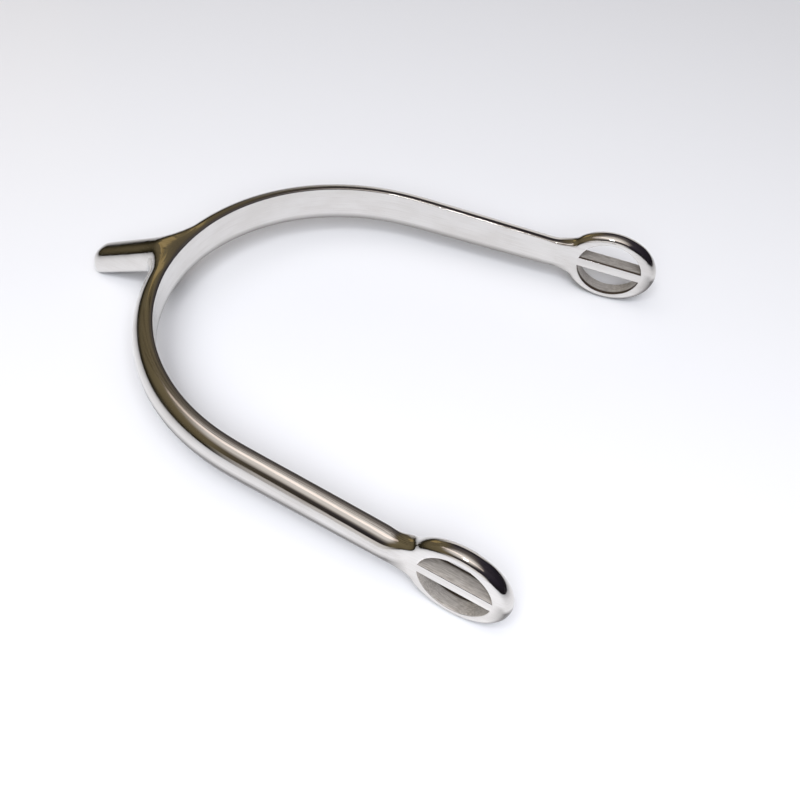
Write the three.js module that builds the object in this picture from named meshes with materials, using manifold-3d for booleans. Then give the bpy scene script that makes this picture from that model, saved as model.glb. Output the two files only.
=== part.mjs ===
// One English riding spur, lying on its eyes and the tip of its neck as it does on a table.
// Millimetres, +Z up: the neck points along -X, the arms open towards +X, and Y is the width.
// The pieces are a heel band, a neck tenoned into its back, and on each arm an oval strap eye
// tenoned into the arm's end, with a bar across it that makes the two strap slots.
import * as THREE from "three";
import { mergeVertices } from "three/addons/utils/BufferGeometryUtils.js";
import Module from "manifold-3d";

const wasm = await Module();
wasm.setup();

// ---- Driving dimensions ----
const GAP = 0.3; // clearance between pieces that meet

// Heel band: its inner face follows a round heel that eases into straight, splayed arms.
const HEEL_RADIUS = 40.9;
const EASE_LENGTH = 11; // the stretch over which the curve straightens out
const ARM_SPLAY = THREE.MathUtils.degToRad(5.9);
const ARM_JOINT_X = 70; // where the arm ends and the eye begins, from the inside of the heel
const BAND_HEIGHT = { heel: 8.0, middle: 8.4, end: 6.9 };
const BAND_THICKNESS = { heel: 4.6, middle: 4.3, end: 4.3 };
const BAND_EDGE_RADIUS = 0.6; // rounding between the flat inner face and the edges
const BAND_CROWN = 0.8; // exponent of the convex outer face, 1 being an ellipse
const WALK_STEP = 0.25; // stride along the inner face when its curve is worked out
const STATION_STEP = 3; // spacing of the band's sections
const CROWN_SIDES = 12;
const CORNER_SIDES = 3;

// Neck
const NECK_REACH = 18.8; // from the back of the band to the tip, along X
const NECK_DROP = THREE.MathUtils.degToRad(27.5);
const NECK_ROOT = { halfWidth: 3.35, halfHeight: 4.0 };
const NECK_TIP = { halfWidth: 2.95, halfHeight: 3.5 };
const NECK_SQUARENESS = 2.6; // exponent of the section, 2 being an ellipse as in the foot
const NECK_FOOT_LENGTH = 4; // over which the section turns from the foot's into the neck's
const NECK_SIDES = 28;
const NECK_TIP_RADIUS = 2.7;
const NECK_FILLET = 6; // radius of the flare from the neck's sides into the band
const NECK_TENON = { radius: 1.9, depth: 3.0 };

// Strap eyes, in the arm's own directions: along, out and up
const EYE_TO_JOINT = 13; // from the eye's middle back to the end of the arm
const EYE_RAISE = 0.35; // height of the eye's middle over the band's
const EYE = { halfLength: 10.6, halfHeight: 8.8, thickness: 3.7, setIn: 0.5, edgeRadius: 1.3 };
const EYE_FILLET = 2.2;
const EYE_STEM = 2; // length of the eye's plate beyond its oval, towards the arm
const EYE_SHOULDER = { end: -8.4, flush: 0.15, narrowing: 0.92 };
const SLOT = { halfLength: 7.25, halfHeight: 6.75 };
const BAR = { height: 2.2, seat: 1.2 };
const EYE_TENON = { depth: 4, width: 2, height: 3.2 };

const POLISHED_STEEL = { color: 0xd9dadb, roughness: 0.12, metalness: 1 };

// ---- Solids and meshes ----

// A closed geometry as a solid that can be joined and cut.
function solid(geometry) {
  const bare = geometry.clone();
  bare.deleteAttribute("normal");
  bare.deleteAttribute("uv");
  const merged = mergeVertices(bare, 1e-4);
  return new wasm.Manifold(new wasm.Mesh({
    numProp: 3,
    vertProperties: merged.attributes.position.array,
    triVerts: new Uint32Array(merged.index.array),
  }));
}

// A solid as a flat-shaded geometry.
function geometryOf(body) {
  const { numProp, vertProperties, triVerts } = body.getMesh();
  const positions = new Float32Array(3 * (vertProperties.length / numProp));
  for (let i = 0; i < positions.length / 3; i++) {
    positions.set(vertProperties.subarray(i * numProp, i * numProp + 3), 3 * i);
  }
  const indexed = new THREE.BufferGeometry();
  indexed.setAttribute("position", new THREE.BufferAttribute(positions, 3));
  indexed.setIndex(new THREE.BufferAttribute(triVerts, 1));
  const geometry = indexed.toNonIndexed();
  geometry.computeVertexNormals();
  return geometry;
}

// A named piece of the spur with its own steel.
function piece(name, body, steel) {
  const material = new THREE.MeshStandardMaterial(steel);
  const mesh = new THREE.Mesh(geometryOf(body), material);
  mesh.name = name;
  return mesh;
}

// A closed skin through rings of equal point counts, with a flat cap on each end.
function loft(rings) {
  const count = rings[0].length;
  const positions = rings.flat().flatMap((p) => [p.x, p.y, p.z]);
  const index = [];
  for (let j = 0; j + 1 < rings.length; j++) {
    for (let i = 0; i < count; i++) {
      const a = j * count + i;
      const b = j * count + ((i + 1) % count);
      index.push(a, b, b + count, a, b + count, a + count);
    }
  }
  for (const last of [false, true]) {
    const ring = last ? rings.at(-1) : rings[0];
    const start = last ? (rings.length - 1) * count : 0;
    const middle = new THREE.Vector3();
    ring.forEach((p) => middle.addScaledVector(p, 1 / count));
    const hub = positions.length / 3;
    positions.push(middle.x, middle.y, middle.z);
    for (let i = 0; i < count; i++) {
      const next = (i + 1) % count;
      const rim = last ? [start + i, start + next] : [start + next, start + i];
      index.push(hub, ...rim);
    }
  }
  const geometry = new THREE.BufferGeometry();
  geometry.setAttribute("position", new THREE.Float32BufferAttribute(positions, 3));
  geometry.setIndex(index);
  return geometry;
}

// A box that reaches from one corner to the other.
function boxBetween(low, high) {
  const size = high.map((value, axis) => value - low[axis]);
  const box = new THREE.BoxGeometry(...size);
  box.translate(...low.map((value, axis) => value + size[axis] / 2));
  return box;
}

// ---- Heel band ----

const easeStart = HEEL_RADIUS * (Math.PI / 2 - ARM_SPLAY) - EASE_LENGTH / 2;

// Direction of the inner face at a distance along it from the middle of the heel, from +X towards +Y.
function headingAt(distance) {
  const eased = THREE.MathUtils.clamp(distance - easeStart, 0, EASE_LENGTH);
  const round = Math.min(distance, easeStart) + eased - eased ** 2 / (2 * EASE_LENGTH);
  return Math.PI / 2 - round / HEEL_RADIUS;
}

// One half of the inner face, as points from the heel to the end of the arm.
function walkArm() {
  const points = [{ distance: 0, x: 0, y: 0, heading: headingAt(0) }];
  while (points.at(-1).x < ARM_JOINT_X) {
    const { distance, x, y } = points.at(-1);
    const heading = headingAt(distance + WALK_STEP / 2);
    points.push({
      distance: distance + WALK_STEP,
      x: x + WALK_STEP * Math.cos(heading),
      y: y + WALK_STEP * Math.sin(heading),
      heading: headingAt(distance + WALK_STEP),
    });
  }
  return points;
}

const arm = walkArm();
const armEnd = arm.at(-1);

// A size at a fraction of the way from the heel to the arm's end, on a parabola through all three.
function along(size, fraction) {
  const heel = size.heel * (1 - fraction) * (1 - 2 * fraction);
  const middle = size.middle * 4 * fraction * (1 - fraction);
  const end = size.end * fraction * (2 * fraction - 1);
  return heel + middle + end;
}

// The band's section as points [out, up]: a convex outer face, and a flat inner one with round corners.
function bandSection(thickness, height, grow) {
  const radius = BAND_EDGE_RADIUS;
  const half = height / 2 + grow;
  const crown = [];
  for (let i = 0; i <= CROWN_SIDES; i++) {
    const angle = Math.PI * (i / CROWN_SIDES - 0.5);
    const bulge = Math.max(Math.cos(angle), 0) ** BAND_CROWN;
    crown.push([radius - grow + (thickness + 2 * grow - radius) * bulge, half * Math.sin(angle)]);
  }
  const corner = [];
  for (let i = 1; i <= CORNER_SIDES; i++) {
    const angle = (i / CORNER_SIDES) * (Math.PI / 2);
    corner.push([radius * (1 - Math.sin(angle)) - grow, half - radius * (1 - Math.cos(angle))]);
  }
  const lowCorner = corner.map(([out, up]) => [out, -up]).reverse();
  return [...crown, ...corner, ...lowCorner];
}

// The band as a solid, grown on every side of its section when it cuts its neighbour.
function bandSolid(grow) {
  const stride = STATION_STEP / WALK_STEP;
  const stations = arm.filter((_, i) => i % stride === 0);
  if (stations.at(-1) !== armEnd) {
    stations.push(armEnd);
  }
  const sides = [
    ...stations.slice(1).reverse().map((station) => [station, -1]),
    ...stations.map((station) => [station, 1]),
  ];
  const rings = sides.map(([{ x, y, heading, distance }, side]) => {
    const fraction = distance / armEnd.distance;
    const section = bandSection(along(BAND_THICKNESS, fraction), along(BAND_HEIGHT, fraction), grow);
    return section.map(([out, up]) => new THREE.Vector3(
      x - out * Math.sin(heading),
      side * (y + out * Math.cos(heading)),
      up,
    ));
  });
  return solid(loft(rings));
}

// The directions of an arm's end: X runs along the arm, Y out of it, and the origin is in its end face.
function armEndMatrix(side) {
  const mirror = new THREE.Matrix4().makeScale(1, side, 1);
  const turn = new THREE.Matrix4().makeRotationZ(armEnd.heading);
  const place = new THREE.Matrix4().makeTranslation(armEnd.x, armEnd.y, 0);
  return mirror.multiply(place).multiply(turn);
}

const neckRootX = -BAND_THICKNESS.heel;

// A round bar along X, from one end to the other.
function rod(radius, from, to) {
  const cylinder = new THREE.CylinderGeometry(radius, radius, to - from, 24);
  cylinder.rotateZ(Math.PI / 2);
  cylinder.translate((from + to) / 2, 0, 0);
  return cylinder;
}

// The eye's tenon or, grown by the clearance, its socket in the arm's end.
function eyeTenon(grow) {
  const middle = BAND_THICKNESS.end / 2;
  const halfWidth = EYE_TENON.width / 2 + grow;
  const halfHeight = EYE_TENON.height / 2 + grow;
  const low = [-EYE_TENON.depth - grow, middle - halfWidth, -halfHeight];
  return boxBetween(low, [2, middle + halfWidth, halfHeight]);
}

function heelBand() {
  let body = bandSolid(0);
  const socketEnd = neckRootX + NECK_TENON.depth + GAP;
  body = body.subtract(solid(rod(NECK_TENON.radius + GAP, neckRootX - 2, socketEnd)));
  for (const side of [-1, 1]) {
    const socket = eyeTenon(GAP).applyMatrix4(armEndMatrix(1));
    const cutter = solid(socket);
    body = body.subtract(side > 0 ? cutter : cutter.mirror([0, 1, 0]));
  }
  return body;
}

// ---- Neck ----

// How far the neck's side stands out at a distance behind the band, with its fillet into the band.
function neckFlare(behind, halfWidth) {
  const outside = HEEL_RADIUS + BAND_THICKNESS.heel;
  const middleY = halfWidth + NECK_FILLET;
  const middleX = Math.sqrt((outside + NECK_FILLET) ** 2 - middleY ** 2) - outside;
  const touch = outside * (Math.cos(Math.asin(middleY / (outside + NECK_FILLET))) - 1);
  const x = THREE.MathUtils.clamp(behind, touch, middleX);
  return NECK_FILLET - Math.sqrt(NECK_FILLET ** 2 - (middleX - x) ** 2);
}

// A cosine or sine squared off by an exponent, for a section between an ellipse and a box.
function bulge(value, squareness) {
  return Math.sign(value) * Math.abs(value) ** (2 / squareness);
}

// The neck's section across X at a distance behind the band.
function neckRing(behind) {
  const fraction = THREE.MathUtils.clamp(behind / NECK_REACH, 0, 1);
  const left = Math.max(NECK_REACH - behind, 0);
  const rounding = left < NECK_TIP_RADIUS
    ? NECK_TIP_RADIUS - Math.sqrt(NECK_TIP_RADIUS ** 2 - (NECK_TIP_RADIUS - left) ** 2)
    : 0;
  const width = THREE.MathUtils.lerp(NECK_ROOT.halfWidth, NECK_TIP.halfWidth, fraction) - rounding;
  const height = THREE.MathUtils.lerp(NECK_ROOT.halfHeight, NECK_TIP.halfHeight, fraction) - rounding;
  const flare = neckFlare(behind, NECK_ROOT.halfWidth);
  const middle = -Math.tan(NECK_DROP) * Math.max(behind, 0);
  const footBlend = THREE.MathUtils.smoothstep(behind, 0, NECK_FOOT_LENGTH);
  const squareness = THREE.MathUtils.lerp(2, NECK_SQUARENESS, footBlend);
  const ring = [];
  for (let i = 0; i < NECK_SIDES; i++) {
    const angle = (i / NECK_SIDES) * 2 * Math.PI;
    const across = bulge(Math.cos(angle), squareness);
    const up = bulge(Math.sin(angle), squareness);
    ring.push(new THREE.Vector3(neckRootX - behind, -(width + flare) * across, middle + height * up));
  }
  return ring;
}

function neck() {
  const tipStart = NECK_REACH - NECK_TIP_RADIUS;
  const footStart = 1 - BAND_THICKNESS.heel;
  const stations = [footStart];
  for (let i = 0; i <= 8; i++) {
    stations.push(THREE.MathUtils.lerp(-0.8, NECK_FILLET - 0.6, i / 8));
  }
  for (let i = 1; i <= 3; i++) {
    stations.push(THREE.MathUtils.lerp(stations[9], tipStart, i / 3));
  }
  for (let i = 1; i <= 5; i++) {
    stations.push(tipStart + NECK_TIP_RADIUS * Math.sin((i / 5) * (Math.PI / 2)));
  }
  const flared = solid(loft(stations.map(neckRing))).subtract(bandSolid(GAP));
  const outer = flared.decompose().sort((a, b) => b.volume() - a.volume())[0];
  const tenonEnd = neckRootX + NECK_TENON.depth;
  return outer.add(solid(rod(NECK_TENON.radius, neckRootX - NECK_TENON.radius, tenonEnd)));
}

// ---- Strap eyes ----

// A point of an oval round the eye's middle, along and up.
function ovalPoint(a, b, angle) {
  return new THREE.Vector2(a * Math.cos(angle), b * Math.sin(angle));
}

// The eye's plate: an oval that runs through two fillets into a stem as high as the arm.
function eyePlate() {
  const edge = EYE.edgeRadius;
  const [a, b] = [EYE.halfLength - edge, EYE.halfHeight - edge];
  const top = BAND_HEIGHT.end / 2 - edge - EYE_RAISE;
  const bottom = -BAND_HEIGHT.end / 2 + edge - EYE_RAISE;
  const end = -EYE.halfLength - EYE_STEM + edge;
  const filletTurn = EYE_FILLET / b;
  const corners = [Math.PI - Math.asin(bottom / b), Math.PI - Math.asin(top / b)];
  const [lowCorner, highCorner] = corners.map((angle) => ovalPoint(a, b, angle));
  const lowTouch = corners[0] + filletTurn;
  const highTouch = corners[1] - filletTurn;
  const high = ovalPoint(a, b, highTouch);
  const low = ovalPoint(a, b, lowTouch);
  const outline = new THREE.Shape();
  outline.moveTo(end, bottom);
  outline.lineTo(lowCorner.x - EYE_FILLET, bottom);
  outline.quadraticCurveTo(lowCorner.x, bottom, low.x, low.y);
  outline.absellipse(0, 0, a, b, lowTouch, 2 * Math.PI + highTouch, false);
  outline.quadraticCurveTo(highCorner.x, top, highCorner.x - EYE_FILLET, top);
  outline.lineTo(end, top);
  outline.closePath();
  const plate = new THREE.ExtrudeGeometry(outline, {
    depth: EYE.thickness - 2 * edge,
    curveSegments: 40,
    bevelThickness: edge,
    bevelSize: edge,
    bevelSegments: 3,
  });
  plate.translate(0, 0, edge);
  plate.rotateX(Math.PI / 2);
  plate.translate(0, EYE.thickness - EYE.setIn, 0);
  return plate;
}

// The shoulder that carries the arm's section over into the eye's plate.
function eyeShoulder() {
  const from = GAP - EYE_TO_JOINT;
  const section = bandSection(BAND_THICKNESS.end, BAND_HEIGHT.end, 0);
  const { end, flush, narrowing } = EYE_SHOULDER;
  const squeeze = (EYE.thickness - 2 * flush) / BAND_THICKNESS.end;
  const rings = [];
  for (let i = 0; i <= 5; i++) {
    const blend = THREE.MathUtils.smoothstep(i / 5, 0, 1);
    rings.push(section.map(([out, up]) => new THREE.Vector3(
      THREE.MathUtils.lerp(from, end, i / 5),
      THREE.MathUtils.lerp(out, flush - EYE.setIn + out * squeeze, blend),
      up * THREE.MathUtils.lerp(1, narrowing, blend) - EYE_RAISE,
    )));
  }
  return loft(rings);
}

// The oval hole through the eye, which the bar divides into the two strap slots.
function eyeHole() {
  const outline = new THREE.Shape();
  outline.absellipse(0, 0, SLOT.halfLength, SLOT.halfHeight, 0, 2 * Math.PI, false);
  const hole = new THREE.ExtrudeGeometry(outline, {
    depth: 3 * EYE.thickness,
    curveSegments: 44,
    bevelEnabled: false,
  });
  hole.rotateX(Math.PI / 2);
  hole.translate(0, 2 * EYE.thickness - EYE.setIn, 0);
  return hole;
}

// The bar's box or, grown by the clearance, its seat in the eye.
function barBox(grow, through) {
  const halfLength = SLOT.halfLength + BAR.seat + grow;
  const halfHeight = BAR.height / 2 + grow;
  const inner = -EYE.setIn - through;
  const outer = EYE.thickness - EYE.setIn + through;
  return boxBetween([-halfLength, inner, -halfHeight], [halfLength, outer, halfHeight]);
}

function strapEye() {
  const tenon = eyeTenon(0);
  tenon.translate(-EYE_TO_JOINT, 0, -EYE_RAISE);
  return solid(eyePlate())
    .add(solid(eyeShoulder()))
    .subtract(solid(eyeHole()))
    .subtract(solid(barBox(GAP, 1)))
    .add(solid(tenon));
}

// One arm's eye and bar, in a group that stands at the arm's end.
function armFittings(side) {
  const name = side > 0 ? "left" : "right";
  const fittings = new THREE.Group();
  fittings.add(piece(`${name}_strap_eye`, strapEye(), POLISHED_STEEL));
  fittings.add(piece(`${name}_strap_bar`, solid(barBox(0, 0)), POLISHED_STEEL));
  const toEye = new THREE.Matrix4().makeTranslation(EYE_TO_JOINT, 0, EYE_RAISE);
  fittings.applyMatrix4(armEndMatrix(side).multiply(toEye));
  return fittings;
}

// ---- The spur ----

// The lowest height of a group's meshes behind or in front of a plane across X.
function lowest(group, inFront) {
  const point = new THREE.Vector3();
  const found = new THREE.Vector3(0, 0, Infinity);
  group.updateMatrixWorld(true);
  group.traverse((mesh) => {
    const position = mesh.isMesh ? mesh.geometry.getAttribute("position") : { count: 0 };
    for (let i = 0; i < position.count; i++) {
      point.fromBufferAttribute(position, i).applyMatrix4(mesh.matrixWorld);
      if (point.x > 0 === inFront && point.z < found.z) {
        found.copy(point);
      }
    }
  });
  return found;
}

const forging = new THREE.Group();
forging.add(piece("heel_band", heelBand(), POLISHED_STEEL));
forging.add(piece("neck", neck(), POLISHED_STEEL));
forging.add(armFittings(1), armFittings(-1));

// Tilted until the neck's tip and the eyes touch the table together.
for (let i = 0; i < 6; i++) {
  const front = lowest(forging, true);
  const back = lowest(forging, false);
  forging.rotation.y += Math.atan2(front.z - back.z, front.x - back.x);
}
forging.position.z = -lowest(forging, true).z;

// Moved along X so that the origin is under the middle of the spur's length.
const bounds = new THREE.Box3().setFromObject(forging, true);
forging.position.x = -(bounds.min.x + bounds.max.x) / 2;

const spur = new THREE.Group();
spur.add(forging);

export default spur;
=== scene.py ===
"""A polished English riding spur, lying on a pale table under soft studio light.

The spur is made from round-crowned stainless bar: a U-shaped heel band, a blunt neck that droops from its
back, and an oval strap eye with a bar across it on the end of each arm. Sizes are in millimetres until they
reach Blender.
"""

import logging
import math
from collections.abc import Callable, Sequence
from dataclasses import dataclass, field
from enum import Enum, IntEnum

import bmesh
import bpy
from bmesh.types import BMEdge, BMesh, BMFace, BMVert
from bpy.types import Material, MeshPolygon, Modifier, Node, NodeSocket, NodeTree, Object
from mathutils import Matrix, Vector


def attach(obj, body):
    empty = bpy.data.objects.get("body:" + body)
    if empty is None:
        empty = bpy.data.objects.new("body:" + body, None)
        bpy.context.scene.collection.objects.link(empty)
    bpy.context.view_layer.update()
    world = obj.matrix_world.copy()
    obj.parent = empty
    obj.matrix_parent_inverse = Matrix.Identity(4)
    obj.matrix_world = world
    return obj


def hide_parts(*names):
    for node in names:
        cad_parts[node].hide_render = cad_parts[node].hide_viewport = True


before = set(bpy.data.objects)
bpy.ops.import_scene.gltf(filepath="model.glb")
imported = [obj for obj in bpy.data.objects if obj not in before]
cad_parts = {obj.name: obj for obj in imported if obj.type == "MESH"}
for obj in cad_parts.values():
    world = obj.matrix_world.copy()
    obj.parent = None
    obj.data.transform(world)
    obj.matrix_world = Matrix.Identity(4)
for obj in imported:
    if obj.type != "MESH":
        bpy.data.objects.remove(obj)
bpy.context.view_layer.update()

MM = 0.001
TOUCHING = 1e-6  # metres, under which two places are the same
log = logging.getLogger("spur")


class Side(Enum):
    """The wearer's side of the boot that an arm lies on."""

    LEFT = 1
    RIGHT = -1


class Zone(IntEnum):
    """What each face of the skin belongs to, kept as its material index until the pieces part."""

    BAND = 0
    NECK = 1
    EYE = 2
    SLOT_WALL = 3

    @classmethod
    def mark_out(cls, piece: Object) -> None:
        """Gives a piece a marking-out colour for each zone, in order.

        Args:
            piece: The piece, before any of its faces is marked.
        """
        for zone in cls:
            name = f"marking_{zone.name.lower()}"
            piece.data.materials.append(bpy.data.materials.get(name) or bpy.data.materials.new(name))

    @classmethod
    def clean_off(cls) -> None:
        """Removes the marking-out colours."""
        for zone in cls:
            bpy.data.materials.remove(bpy.data.materials[f"marking_{zone.name.lower()}"])


# ---- Working at the bench: small helpers around the edit-mode operators ----


def deselect_all() -> None:
    """Leaves nothing selected in object mode."""
    bpy.ops.object.select_all(action="DESELECT")


def take_up(piece: Object) -> None:
    """Makes one object the only selected and active one.

    Args:
        piece: The object to work on.
    """
    deselect_all()
    piece.select_set(True)
    bpy.context.view_layer.objects.active = piece


def pick(piece: Object, wanted: Callable[[BMVert], bool]) -> None:
    """Selects, in edit mode, just the vertices that pass a test.

    Args:
        piece: The object in edit mode.
        wanted: Says whether a vertex is taken.
    """
    bpy.ops.mesh.select_mode(type="VERT")
    mesh = bmesh.from_edit_mesh(piece.data)
    for vertex in mesh.verts:
        vertex.select = bool(wanted(vertex))
    mesh.select_flush_mode()
    bmesh.update_edit_mesh(piece.data)


def pick_faces(piece: Object, wanted: Callable[[BMFace], bool]) -> None:
    """Selects, in edit mode, just the faces that pass a test.

    Args:
        piece: The object in edit mode.
        wanted: Says whether a face is taken.
    """
    bpy.ops.mesh.select_mode(type="FACE")
    mesh = bmesh.from_edit_mesh(piece.data)
    for face in mesh.faces:
        face.select = bool(wanted(face))
    mesh.select_flush_mode()
    bmesh.update_edit_mesh(piece.data)


def pick_rims(piece: Object, wanted: Callable[[Vector], bool]) -> None:
    """Selects, in edit mode, the open edges whose middle passes a test.

    Args:
        piece: The object in edit mode.
        wanted: Says whether an open edge is taken, from its middle.
    """
    bpy.ops.mesh.select_mode(type="EDGE")
    mesh = bmesh.from_edit_mesh(piece.data)
    for edge in mesh.edges:
        middle = (edge.verts[0].co + edge.verts[1].co) / 2
        edge.select = len(edge.link_faces) < 2 and bool(wanted(middle))
    mesh.select_flush_mode()
    bmesh.update_edit_mesh(piece.data)


def turn(angle: float, axis: str, centre: Vector) -> None:
    """Turns the selection by the right-hand rule.

    Args:
        angle: The turn in radians.
        axis: X, Y or Z.
        centre: The point to turn about.
    """
    bpy.ops.transform.rotate(value=-angle, orient_axis=axis, orient_type="GLOBAL", center_override=centre)


def resize(scale: tuple[float, float, float], centre: Vector) -> None:
    """Resizes the selection about a point.

    Args:
        scale: Factors along X, Y and Z.
        centre: The point that stays.
    """
    bpy.ops.transform.resize(value=scale, orient_type="GLOBAL", center_override=centre)


def extrude(move: Vector) -> None:
    """Extrudes the selected rim or face.

    Args:
        move: How far the new rim stands from the old one.
    """
    bpy.ops.mesh.extrude_region_move(TRANSFORM_OT_translate={"value": move, "orient_type": "GLOBAL"})


def shut(piece: Object) -> None:
    """Fills every open rim of a mesh and turns its faces outwards.

    Args:
        piece: The object, in object mode.
    """
    take_up(piece)
    bpy.ops.object.mode_set(mode="EDIT")
    pick_rims(piece, lambda middle: True)
    bpy.ops.mesh.fill_holes(sides=0)
    bpy.ops.mesh.select_all(action="SELECT")
    bpy.ops.mesh.normals_make_consistent(inside=False)
    bpy.ops.object.mode_set(mode="OBJECT")


def apply_modifier(piece: Object, modifier: Modifier) -> None:
    """Applies one modifier.

    Args:
        piece: The object that has it.
        modifier: The modifier.
    """
    take_up(piece)
    bpy.ops.object.modifier_apply(modifier=modifier.name)


def smooth_subdivide(piece: Object, levels: int) -> None:
    """Rounds a cage into its smooth surface.

    Args:
        piece: The cage.
        levels: How many times each face is divided.
    """
    rounding = piece.modifiers.new("rounding", "SUBSURF")
    rounding.levels = levels
    rounding.render_levels = levels
    rounding.boundary_smooth = "PRESERVE_CORNERS"
    apply_modifier(piece, rounding)


# ---- Finishes ----


def linear(code: str, alpha: float = 1.0) -> tuple[float, float, float, float]:
    """Turns an sRGB hex colour into Blender's linear values.

    Args:
        code: Six hex digits, with or without a hash.
        alpha: Opacity.

    Returns:
        Linear red, green and blue, and alpha.
    """
    values = [int(code.lstrip("#")[i : i + 2], 16) / 255 for i in (0, 2, 4)]
    red, green, blue = (v / 12.92 if v <= 0.04045 else ((v + 0.055) / 1.055) ** 2.4 for v in values)
    return red, green, blue, alpha


def add_node(
    tree: NodeTree, kind: str, settings: dict | None = None,
    numbered: dict[int, object] | None = None, **named: object,
) -> Node:
    """Adds a node with its settings, and links or values for its inputs.

    Args:
        tree: The node tree.
        kind: The node's type name.
        settings: Properties to set on the node, and "ramp" for a colour ramp's stops.
        numbered: The same as named, for inputs whose names repeat, by their numbers.
        **named: Input names, with underscores for spaces, to a socket to link from or a value to hold.

    Returns:
        The new node.
    """
    node = tree.nodes.new(kind)
    for name, value in (settings or {}).items():
        if name == "ramp":
            stops = node.color_ramp.elements
            while len(stops) < len(value):
                stops.new(1.0)
            for stop, (place, code) in zip(stops, value):
                stop.position = place
                stop.color = linear(code)
        else:
            setattr(node, name, value)
    inputs = {name.replace("_", " "): value for name, value in named.items()} | (numbered or {})
    for key, value in inputs.items():
        socket = node.inputs[key]
        if isinstance(value, NodeSocket):
            tree.links.new(value, socket)
        else:
            socket.default_value = value
    return node


def mixed(tree: NodeTree, share: object, first: object, second: object, blend: str = "MIX") -> NodeSocket:
    """Adds a mix of two colours by a share, and returns its colour."""
    settings = {"data_type": "RGBA", "blend_type": blend}
    return add_node(tree, "ShaderNodeMix", settings, {0: share, 6: first, 7: second}).outputs[2]


def ranged(tree: NodeTree, value: NodeSocket, ease: str = "LINEAR", **limits: object) -> NodeSocket:
    """Adds a step that maps a value from one range to another, and returns its result."""
    settings = {"interpolation_type": ease}
    return add_node(tree, "ShaderNodeMapRange", settings, Value=value, **limits).outputs["Result"]


def coloured(tree: NodeTree, value: NodeSocket, stops: Sequence[tuple[float, str]]) -> NodeSocket:
    """Adds a ramp of colours along a value, and returns its colour."""
    return add_node(tree, "ShaderNodeValToRGB", {"ramp": stops}, Fac=value).outputs["Color"]


def raised(tree: NodeTree, height: NodeSocket, depth: float, **under: NodeSocket) -> NodeSocket:
    """Adds a relief of a depth in millimetres, on another one if that is given, and returns its normal."""
    bump = add_node(tree, "ShaderNodeBump", Height=height, Strength=1.0, Distance=depth * MM, **under)
    return bump.outputs["Normal"]


def new_material(name: str) -> tuple[Material, NodeTree]:
    """Makes an empty material with nodes.

    Args:
        name: The material's name.

    Returns:
        The material and its node tree.
    """
    material = bpy.data.materials.new(name)
    material.use_nodes = True
    material.node_tree.nodes.clear()
    return material, material.node_tree


def drawn_noise(tree: NodeTree, along: float, spacing: float, detail: float) -> NodeSocket:
    """Adds noise that is drawn out along the bar, as the marks of grinding and wiping are.

    Args:
        tree: The material's node tree.
        along: The noise's scale along the bar, as a share of its scale across.
        spacing: The spacing of its lines across the bar, in millimetres.
        detail: The number of finer layers on it.

    Returns:
        The noise's value.
    """
    place = add_node(tree, "ShaderNodeAttribute", {"attribute_name": "grain"})
    drawn = add_node(tree, "ShaderNodeMapping", Vector=place.outputs["Vector"], Scale=(along, 1.0, 1.0))
    noise = add_node(
        tree, "ShaderNodeTexNoise", Vector=drawn.outputs["Vector"],
        Scale=1 / (spacing * MM), Detail=detail, Roughness=0.6,
    )
    return noise.outputs["Fac"]


@dataclass(frozen=True)
class MirrorPolishedStainless:
    """Stainless steel taken to a mirror on a buffing wheel.

    It shows the room sharply, with the edges of the reflections drawn into faint streaks by hairlines that
    run along the bar, and softened in patches where handling has hazed it. Its undersides are duller, and
    painted darker grey as a painted reflection of the shade beneath the spur.
    """

    colour: str = "#E2E0DD"
    hazed: str = "#D8D5D1"
    roughness: tuple[float, float] = (0.05, 0.16)
    drawn_along: float = 0.03  # scale of the hairlines and streaks along the bar, as a share of that across
    hairline_spacing: float = 0.3  # mm, coarser than real ones so that they show
    hairline_height: float = 0.0026  # mm
    hairline_span: tuple[float, float] = (0.45, 0.8)  # of the noise, over which they dull the steel
    streak_spacing: float = 1.1  # mm, the buffing wheel's own marks
    streak_height: float = 0.024  # mm
    haze_size: float = 7.0  # mm
    haze_along: float = 0.5
    haze_span: tuple[float, float] = (0.4, 0.68)
    # painted shade: the undersides' darker grey is a painted reflection of the shade beneath the spur
    dulled: str = "#6B6865"
    dulled_roughness: float = 0.3

    def material(self) -> Material:
        """Returns the finished material."""
        material, tree = new_material("mirror_polished_stainless")
        hairlines = drawn_noise(tree, self.drawn_along, self.hairline_spacing, 2.0)
        streaks = drawn_noise(tree, self.drawn_along, self.streak_spacing, 1.0)
        haze = drawn_noise(tree, self.haze_along, self.haze_size, 3.0)
        patches = ranged(tree, haze, From_Min=self.haze_span[0], From_Max=self.haze_span[1])
        lines = ranged(tree, hairlines, From_Min=self.hairline_span[0], From_Max=self.hairline_span[1])
        added = {"operation": "ADD", "use_clamp": True}
        hazy = add_node(tree, "ShaderNodeMath", added, {0: patches, 1: lines}).outputs["Value"]
        polish = ranged(tree, hazy, To_Min=self.roughness[0], To_Max=self.roughness[1])
        # The undersides are rougher, and their colour is darkened as painted shade, a painted reflection of
        # the shade beneath the spur.
        underside = add_node(tree, "ShaderNodeAttribute", {"attribute_name": "dulled"}).outputs["Fac"]
        rough = ranged(tree, underside, To_Min=polish, To_Max=self.dulled_roughness)
        tint = coloured(tree, hazy, ((0.0, self.colour), (1.0, self.hazed)))
        shade = mixed(tree, underside, tint, linear(self.dulled))
        waved = raised(tree, streaks, self.streak_height)
        scored = raised(tree, hairlines, self.hairline_height, Normal=waved)
        steel = add_node(
            tree, "ShaderNodeBsdfPrincipled", Base_Color=shade, Metallic=1.0, Roughness=rough, Normal=scored,
        )
        add_node(tree, "ShaderNodeOutputMaterial", Surface=steel.outputs["BSDF"])
        return material


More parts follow.
